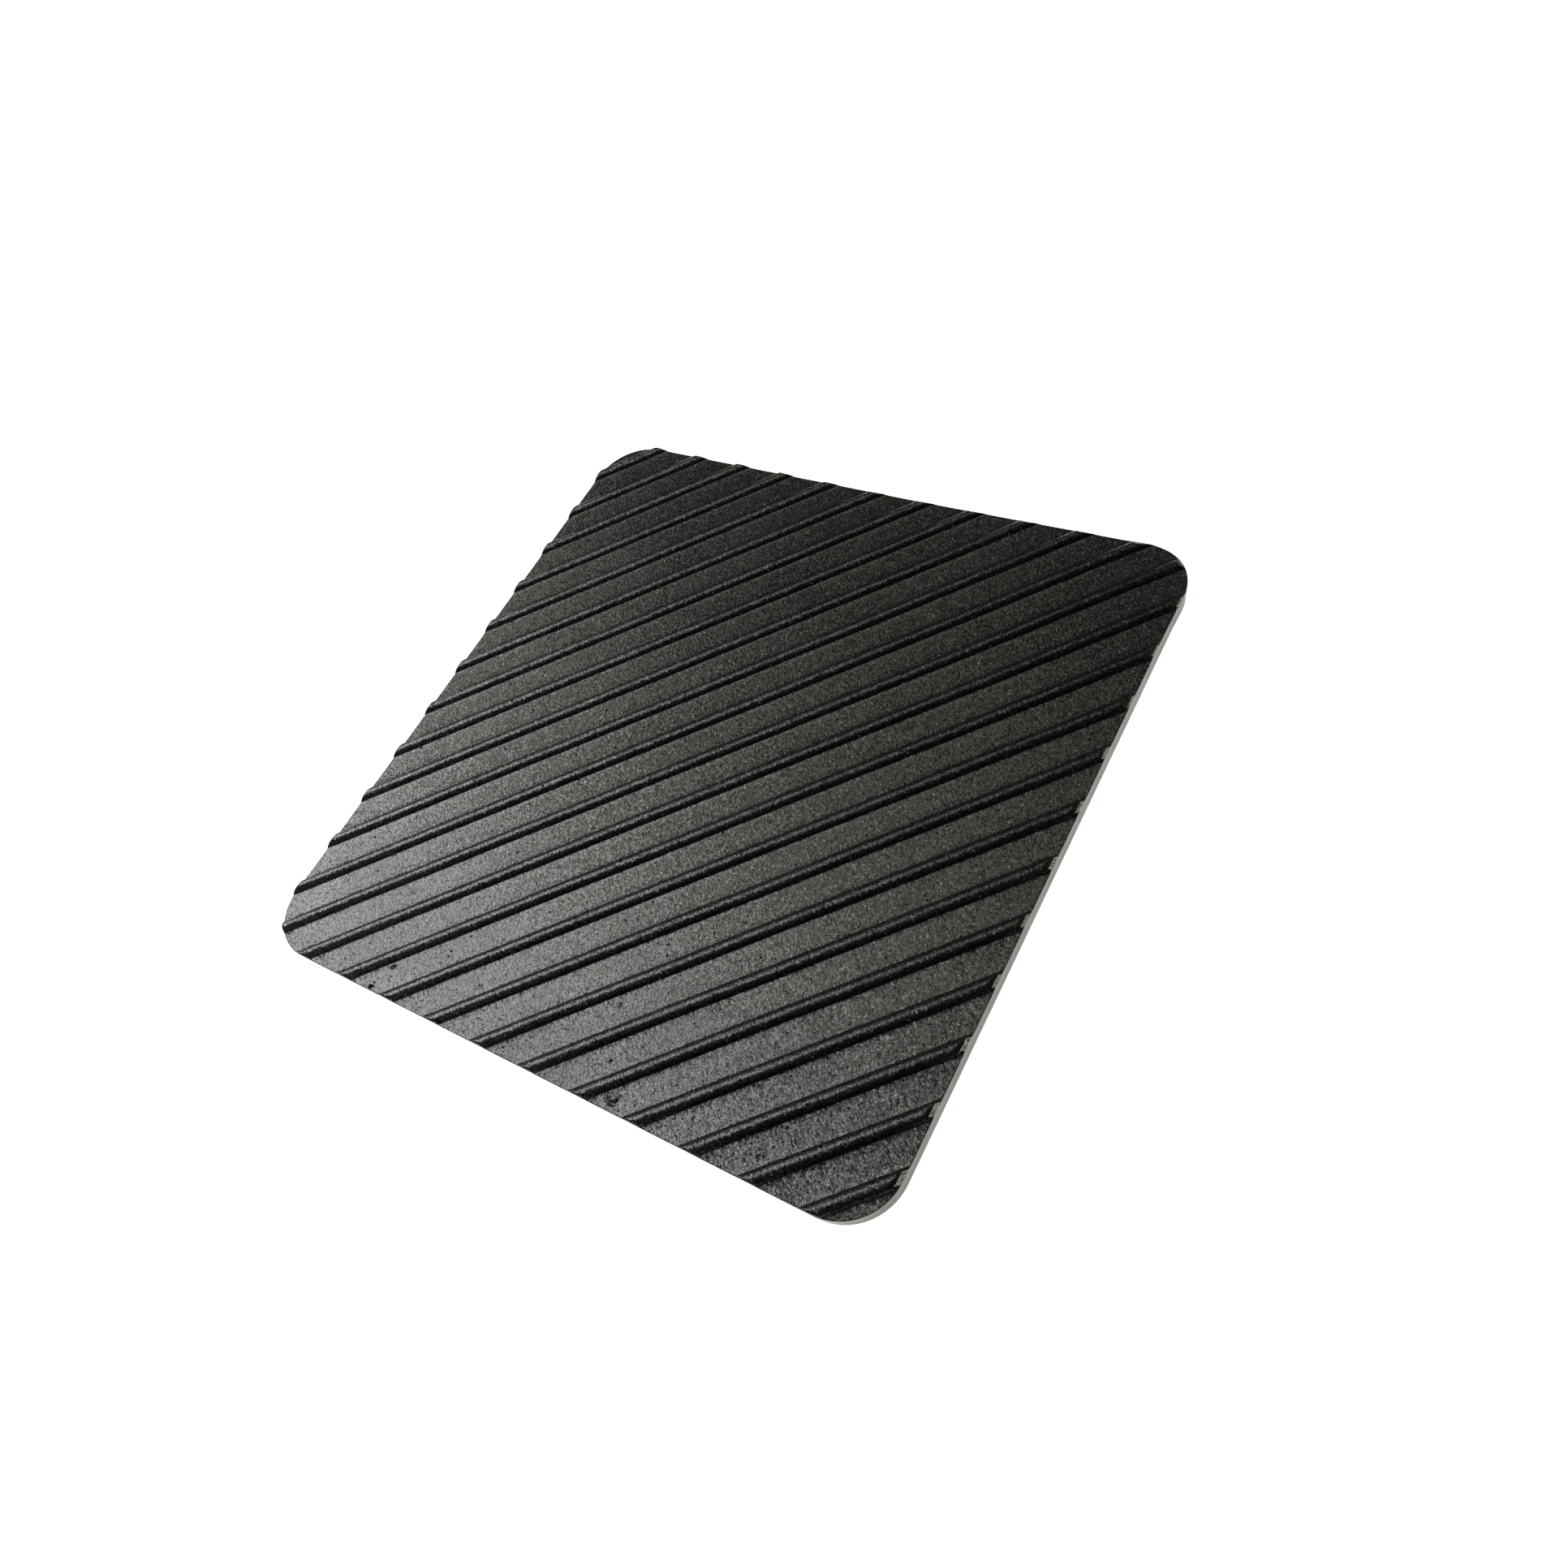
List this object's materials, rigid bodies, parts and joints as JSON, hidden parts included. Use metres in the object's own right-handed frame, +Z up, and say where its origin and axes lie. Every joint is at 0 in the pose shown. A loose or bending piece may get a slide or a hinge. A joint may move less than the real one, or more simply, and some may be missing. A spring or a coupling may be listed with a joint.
{
  "type": "snowboard stomp pad",
  "caption": "Square self-adhesive stomp pad: black rubber sheet with diagonal rounded ribs and rounded corners, on double-coated tape with a split release liner.",
  "frame": {"origin": "middle of the underside, the face of the release liner that the pad lies on", "axes": "+Z up through the ribs; +X and +Y along two sides of the square; the ribs run along the diagonal between +X and +Y"},
  "size_m": [0.1016, 0.1016, 0.0035],
  "materials": {
    "tread_rubber": "black moulded rubber, fine leather grain on top, smooth cut edges",
    "adhesive": "clear tacky acrylic, slightly hazy",
    "carrier_film": "thin polyester film",
    "release_liner": "silicone-coated kraft paper, pale brown, low sheen"
  },
  "bodies": {
    "pad": {"tread_pad": "tread_rubber", "upper_adhesive": "adhesive", "tape_carrier": "carrier_film", "lower_adhesive": "adhesive"},
    "liner_left": {"liner_half_left": "release_liner"},
    "liner_right": {"liner_half_right": "release_liner"}
  },
  "joints": [
    {"name": "liner_left_peel", "type": "slide", "parent": "pad", "child": "liner_left", "axis": [-1, 0, 0], "range_m": [0, 0.055]},
    {"name": "liner_right_peel", "type": "slide", "parent": "pad", "child": "liner_right", "axis": [1, 0, 0], "range_m": [0, 0.055]}
  ]
}
